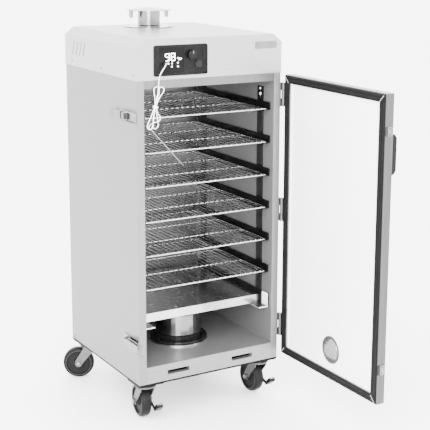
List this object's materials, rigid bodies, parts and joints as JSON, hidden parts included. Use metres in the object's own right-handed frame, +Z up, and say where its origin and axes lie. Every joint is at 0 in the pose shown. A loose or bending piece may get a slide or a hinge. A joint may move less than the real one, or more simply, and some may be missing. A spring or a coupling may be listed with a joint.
{
  "type": "cabinet food dehydrator",
  "caption": "Free-standing cabinet food dehydrator and smoker on swivel casters, with a hinged front door, sliding wire racks, control panel, chimney and toggle latches.",
  "frame": {"origin": "on the floor under the middle of the whole object with its door standing open at 90 degrees", "axes": "+Z up, +Y into the cabinet, away from the door opening, +X to the right seen from the front"},
  "size_m": [0.513, 0.9213, 1.069],
  "materials": {
    "sheet_steel": "satin",
    "bright_steel": "polished",
    "braided_steel": "satin",
    "dark_steel": "satin",
    "zinc": "satin",
    "black_paint": "matt",
    "black_plastic": "gloss",
    "grey_plastic": "matt",
    "smoked_glass": "gloss",
    "white_sheet": "satin",
    "seal_rubber": "matt",
    "wheel_rubber": "matt",
    "circuit_green": "matt"
  },
  "bodies": {
    "cabinet": {"left_wall": "sheet_steel", "right_wall": "sheet_steel", "back_wall": "sheet_steel", "ceiling_panel": "sheet_steel", "floor_pan": "sheet_steel", "base_frame": "black_paint", "hood_shell": "sheet_steel", "control_panel": "black_plastic", "display_window": "smoked_glass", "control_board": "circuit_green", "badge_plate": "bright_steel", "power_inlet": "black_plastic", "chimney_pipe": "bright_steel", "hinge_top_body_leaf": "zinc", "hinge_middle_body_leaf": "zinc", "hinge_bottom_body_leaf": "zinc", "left_ladder": "dark_steel", "right_ladder": "dark_steel", "hot_plate": "black_paint", "latch_base_upper": "bright_steel", "latch_base_lower": "bright_steel", "probe_jack": "black_plastic", "probe_lead": "braided_steel", "probe_hank": "braided_steel", "probe_needle": "bright_steel"},
    "door": {"door_shell": "sheet_steel", "door_liner": "white_sheet", "door_gasket": "seal_rubber", "door_air_tube": "bright_steel", "door_handle": "black_plastic", "keeper_upper": "bright_steel", "keeper_lower": "bright_steel", "hinge_top_door_leaf": "zinc", "hinge_middle_door_leaf": "zinc", "hinge_bottom_door_leaf": "zinc"},
    "chimney_cap": {"chimney_cap": "bright_steel"},
    "control_knob": {"control_knob": "black_plastic"},
    "power_button": {"power_button": "grey_plastic"},
    "drip_tray": {"drip_tray": "bright_steel"},
    "chip_pan": {"chip_pan": "bright_steel"},
    "rack_1": {"rack_1": "bright_steel"},
    "rack_2": {"rack_2": "bright_steel"},
    "rack_3": {"rack_3": "bright_steel"},
    "rack_4": {"rack_4": "bright_steel"},
    "rack_5": {"rack_5": "bright_steel"},
    "rack_6": {"rack_6": "bright_steel"},
    "latch_lever_upper": {"latch_lever_upper": "bright_steel"},
    "latch_loop_upper": {"latch_loop_upper": "bright_steel"},
    "latch_lever_lower": {"latch_lever_lower": "bright_steel"},
    "latch_loop_lower": {"latch_loop_lower": "bright_steel"},
    "fork_front_left": {"fork_front_left": "zinc"},
    "wheel_front_left": {"wheel_front_left": "wheel_rubber"},
    "fork_front_right": {"fork_front_right": "zinc"},
    "wheel_front_right": {"wheel_front_right": "wheel_rubber"},
    "fork_rear_left": {"fork_rear_left": "zinc"},
    "wheel_rear_left": {"wheel_rear_left": "wheel_rubber"},
    "fork_rear_right": {"fork_rear_right": "zinc"},
    "wheel_rear_right": {"wheel_rear_right": "wheel_rubber"},
    "brake_pedal_front_left": {"brake_pedal_front_left": "black_plastic"},
    "brake_pedal_front_right": {"brake_pedal_front_right": "black_plastic"}
  },
  "joints": [
    {"name": "door_hinge", "type": "hinge", "parent": "cabinet", "child": "door", "pos_m": [0.2115, -0.019, 0.538], "axis": [0, 0, 1], "range_deg": [-90, 90], "deforming": ["probe_lead", "probe_hank", "probe_needle"]},
    {"name": "rack_1_slide", "type": "slide", "parent": "cabinet", "child": "rack_1", "axis": [0, -1, 0], "range_m": [0, 0.3], "deforming": ["probe_lead", "probe_hank", "probe_needle"]},
    {"name": "rack_2_slide", "type": "slide", "parent": "cabinet", "child": "rack_2", "axis": [0, -1, 0], "range_m": [0, 0.3], "deforming": ["probe_lead", "probe_hank", "probe_needle"]},
    {"name": "rack_3_slide", "type": "slide", "parent": "cabinet", "child": "rack_3", "axis": [0, -1, 0], "range_m": [0, 0.3]},
    {"name": "rack_4_slide", "type": "slide", "parent": "cabinet", "child": "rack_4", "axis": [0, -1, 0], "range_m": [0, 0.3]},
    {"name": "rack_5_slide", "type": "slide", "parent": "cabinet", "child": "rack_5", "axis": [0, -1, 0], "range_m": [0, 0.3]},
    {"name": "rack_6_slide", "type": "slide", "parent": "cabinet", "child": "rack_6", "axis": [0, -1, 0], "range_m": [0, 0.3]},
    {"name": "tray_slide", "type": "slide", "parent": "cabinet", "child": "drip_tray", "axis": [0, -1, 0], "range_m": [0, 0.3]},
    {"name": "pan_slide", "type": "slide", "parent": "cabinet", "child": "chip_pan", "axis": [0, -1, 0], "range_m": [0, 0.3]},
    {"name": "cap_lift", "type": "slide", "parent": "cabinet", "child": "chimney_cap", "axis": [0, 0, 1], "range_m": [0, 0.06]},
    {"name": "knob_turn", "type": "hinge", "parent": "cabinet", "child": "control_knob", "pos_m": [-0.0685, -0.0185, 0.972], "axis": [0, 1, 0], "range_deg": [0, 270]},
    {"name": "button_press", "type": "slide", "parent": "cabinet", "child": "power_button", "axis": [0, 1, 0], "range_m": [0, 0.002], "stiffness_N_per_m": 400, "springref_m": -0.001},
    {"name": "latch_lever_upper_turn", "type": "hinge", "parent": "cabinet", "child": "latch_lever_upper", "pos_m": [-0.2305, 0.042, 0.819], "axis": [0, 0, -1], "range_deg": [-175, 0]},
    {"name": "latch_loop_upper_turn", "type": "hinge", "parent": "latch_lever_upper", "child": "latch_loop_upper", "pos_m": [-0.23008, 0.06011, 0.819], "axis": [0, 0, -1], "range_deg": [0, 180]},
    {"name": "latch_lever_lower_turn", "type": "hinge", "parent": "cabinet", "child": "latch_lever_lower", "pos_m": [-0.2305, 0.042, 0.223], "axis": [0, 0, -1], "range_deg": [0, 175]},
    {"name": "latch_loop_lower_turn", "type": "hinge", "parent": "latch_lever_lower", "child": "latch_loop_lower", "pos_m": [-0.2325, 0.024, 0.223], "axis": [0, 0, -1], "range_deg": [-180, 0]},
    {"name": "swivel_front_left", "type": "hinge", "parent": "cabinet", "child": "fork_front_left", "pos_m": [-0.1845, 0.023, 0.101], "axis": [0, 0, 1], "continuous": true},
    {"name": "roll_front_left", "type": "hinge", "parent": "fork_front_left", "child": "wheel_front_left", "pos_m": [-0.18138, 0.05485, 0.0445], "axis": [0.9952, -0.0976, 0], "continuous": true},
    {"name": "brake_front_left", "type": "hinge", "parent": "fork_front_left", "child": "brake_pedal_front_left", "pos_m": [-0.18138, 0.05485, 0.0445], "axis": [0.9952, -0.0976, 0], "range_deg": [0, 8]},
    {"name": "swivel_front_right", "type": "hinge", "parent": "cabinet", "child": "fork_front_right", "pos_m": [0.1675, 0.023, 0.101], "axis": [0, 0, 1], "continuous": true},
    {"name": "roll_front_right", "type": "hinge", "parent": "fork_front_right", "child": "wheel_front_right", "pos_m": [0.16605, 0.05497, 0.0445], "axis": [0.999, 0.0454, 0], "continuous": true},
    {"name": "brake_front_right", "type": "hinge", "parent": "fork_front_right", "child": "brake_pedal_front_right", "pos_m": [0.16605, 0.05497, 0.0445], "axis": [0.999, 0.0454, 0], "range_deg": [0, 8]},
    {"name": "swivel_rear_left", "type": "hinge", "parent": "cabinet", "child": "fork_rear_left", "pos_m": [-0.1845, 0.385, 0.101], "axis": [0, 0, 1], "continuous": true},
    {"name": "roll_rear_left", "type": "hinge", "parent": "fork_rear_left", "child": "wheel_rear_left", "pos_m": [-0.21275, 0.40002, 0.0445], "axis": [0.4695, 0.8829, 0], "continuous": true},
    {"name": "swivel_rear_right", "type": "hinge", "parent": "cabinet", "child": "fork_rear_right", "pos_m": [0.1675, 0.385, 0.101], "axis": [0, 0, 1], "continuous": true},
    {"name": "roll_rear_right", "type": "hinge", "parent": "fork_rear_right", "child": "wheel_rear_right", "pos_m": [0.15656, 0.41507, 0.0445], "axis": [0.9397, 0.342, 0], "continuous": true}
  ],
  "couplings": [
    {"joint": "latch_loop_upper_turn", "follows": "latch_lever_upper_turn", "ratio": -0.989},
    {"joint": "latch_loop_lower_turn", "follows": "latch_lever_lower_turn", "ratio": -0.989}
  ]
}
